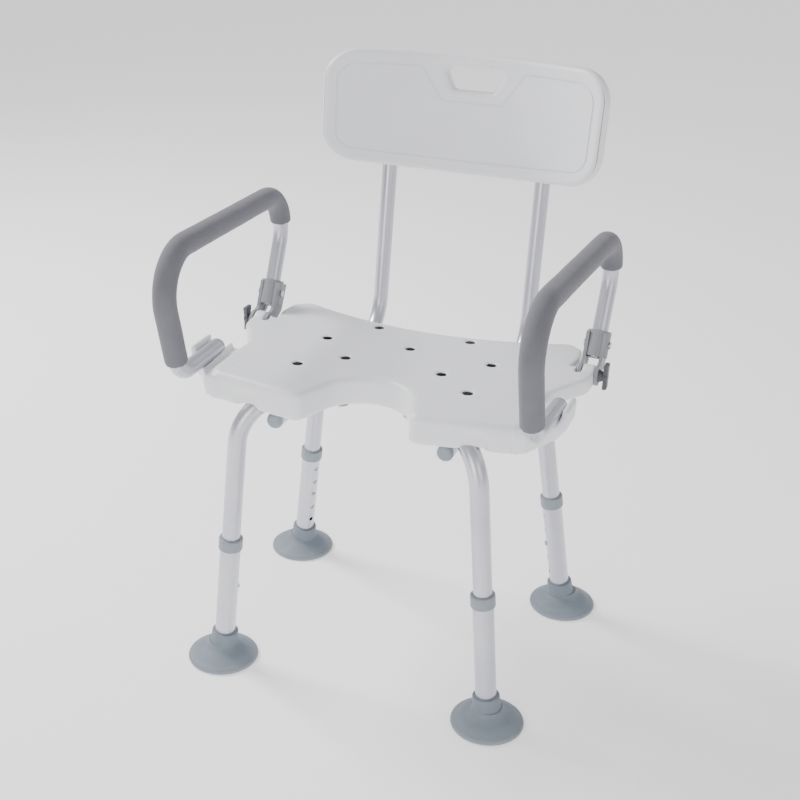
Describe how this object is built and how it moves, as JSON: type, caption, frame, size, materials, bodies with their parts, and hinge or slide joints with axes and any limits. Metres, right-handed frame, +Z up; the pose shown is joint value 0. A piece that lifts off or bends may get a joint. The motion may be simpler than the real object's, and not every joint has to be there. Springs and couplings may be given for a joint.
{
  "type": "shower chair",
  "caption": "Height-adjustable shower chair: contoured plastic seat with a cut-out, curved backrest, flip-up padded armrests and splayed telescopic legs.",
  "frame": {"origin": "on the floor, under the centre of the chair's overall box", "axes": "+Z up, -Y the way the sitter faces, +X the sitter's left"},
  "size_m": [0.5484, 0.5424, 0.8087],
  "materials": {
    "white_plastic": "satin blow-moulded polyethylene",
    "aluminium": "satin anodised tube",
    "foam": "closed-cell foam",
    "rubber": "matt moulded rubber",
    "grey_plastic": "satin moulded plastic",
    "dark_plastic": "matt moulded plastic",
    "steel": "bright zinc plated"
  },
  "bodies": {
    "seat_frame": {"seat": "white_plastic", "low_frame_tube": "aluminium", "high_frame_tube": "aluminium", "crossing_rivet": "steel", "clip_screws": "steel", "guide_screws": "steel", "left_front_frame_clip": "aluminium", "left_front_tube_guide": "grey_plastic", "left_front_button_spring": "steel", "left_rear_frame_clip": "aluminium", "left_rear_tube_guide": "grey_plastic", "left_rear_button_spring": "steel", "right_front_frame_clip": "aluminium", "right_front_tube_guide": "grey_plastic", "right_front_button_spring": "steel", "right_rear_frame_clip": "aluminium", "right_rear_tube_guide": "grey_plastic", "right_rear_button_spring": "steel"},
    "left_front_foot_leg": {"left_front_lower_leg": "aluminium", "left_front_collar": "grey_plastic", "left_front_foot": "rubber"},
    "left_front_button": {"left_front_snap_button": "steel"},
    "left_rear_foot_leg": {"left_rear_lower_leg": "aluminium", "left_rear_collar": "grey_plastic", "left_rear_foot": "rubber"},
    "left_rear_button": {"left_rear_snap_button": "steel"},
    "back": {"left_back_tube": "aluminium", "left_back_tube_cap": "grey_plastic", "right_back_tube": "aluminium", "right_back_tube_cap": "grey_plastic", "backrest": "white_plastic"},
    "left_arm": {"left_arm_tube": "aluminium", "left_arm_grip": "foam", "left_arm_cap": "grey_plastic", "left_arm_bracket": "grey_plastic", "left_arm_rivet": "steel", "left_pivot_bolt": "steel"},
    "left_knob": {"left_wing_knob": "dark_plastic"},
    "right_front_foot_leg": {"right_front_lower_leg": "aluminium", "right_front_collar": "grey_plastic", "right_front_foot": "rubber"},
    "right_front_button": {"right_front_snap_button": "steel"},
    "right_rear_foot_leg": {"right_rear_lower_leg": "aluminium", "right_rear_collar": "grey_plastic", "right_rear_foot": "rubber"},
    "right_rear_button": {"right_rear_snap_button": "steel"},
    "right_arm": {"right_arm_tube": "aluminium", "right_arm_grip": "foam", "right_arm_cap": "grey_plastic", "right_arm_bracket": "grey_plastic", "right_arm_rivet": "steel", "right_pivot_bolt": "steel"},
    "right_knob": {"right_wing_knob": "dark_plastic"}
  },
  "joints": [
    {"name": "left_front_height_slide", "type": "slide", "parent": "seat_frame", "child": "left_front_foot_leg", "axis": [-0.0867, 0, 0.9962], "range_m": [-0.0508, 0.0508], "deforming": ["left_front_snap_button"]},
    {"name": "left_front_button_press", "type": "slide", "parent": "seat_frame", "child": "left_front_button", "axis": [0.6935, -0.718, 0.0603], "range_m": [0, 0.0045], "stiffness_N_per_m": 800, "deforming": ["left_front_button_spring"]},
    {"name": "left_rear_height_slide", "type": "slide", "parent": "seat_frame", "child": "left_rear_foot_leg", "axis": [-0.133, -0.1093, 0.9851], "range_m": [-0.0508, 0.0508], "deforming": ["left_rear_snap_button"]},
    {"name": "left_rear_button_press", "type": "slide", "parent": "seat_frame", "child": "left_rear_button", "axis": [0.8694, 0.4644, 0.1689], "range_m": [0, 0.0045], "stiffness_N_per_m": 800, "deforming": ["left_rear_button_spring"]},
    {"name": "left_arm_lift", "type": "hinge", "parent": "seat_frame", "child": "left_arm", "pos_m": [0.2475, 0.0349, 0.431], "axis": [-1, 0, 0], "range_deg": [0, 90]},
    {"name": "left_knob_turn", "type": "hinge", "parent": "left_arm", "child": "left_knob", "pos_m": [0.2475, 0.0349, 0.431], "axis": [1, 0, 0], "continuous": true},
    {"name": "right_front_height_slide", "type": "slide", "parent": "seat_frame", "child": "right_front_foot_leg", "axis": [0.0867, 0, 0.9962], "range_m": [-0.0508, 0.0508], "deforming": ["right_front_snap_button"]},
    {"name": "right_front_button_press", "type": "slide", "parent": "seat_frame", "child": "right_front_button", "axis": [-0.6935, -0.718, 0.0603], "range_m": [0, 0.0045], "stiffness_N_per_m": 800, "deforming": ["right_front_button_spring"]},
    {"name": "right_rear_height_slide", "type": "slide", "parent": "seat_frame", "child": "right_rear_foot_leg", "axis": [0.133, -0.1093, 0.9851], "range_m": [-0.0508, 0.0508], "deforming": ["right_rear_snap_button"]},
    {"name": "right_rear_button_press", "type": "slide", "parent": "seat_frame", "child": "right_rear_button", "axis": [-0.8694, 0.4644, 0.1689], "range_m": [0, 0.0045], "stiffness_N_per_m": 800, "deforming": ["right_rear_button_spring"]},
    {"name": "right_arm_lift", "type": "hinge", "parent": "seat_frame", "child": "right_arm", "pos_m": [-0.2475, 0.0349, 0.431], "axis": [-1, 0, 0], "range_deg": [0, 90]},
    {"name": "right_knob_turn", "type": "hinge", "parent": "right_arm", "child": "right_knob", "pos_m": [-0.2475, 0.0349, 0.431], "axis": [-1, 0, 0], "continuous": true},
    {"name": "back_pull_out", "type": "slide", "parent": "seat_frame", "child": "back", "axis": [0, 1, 0], "range_m": [0, 0.2]}
  ]
}
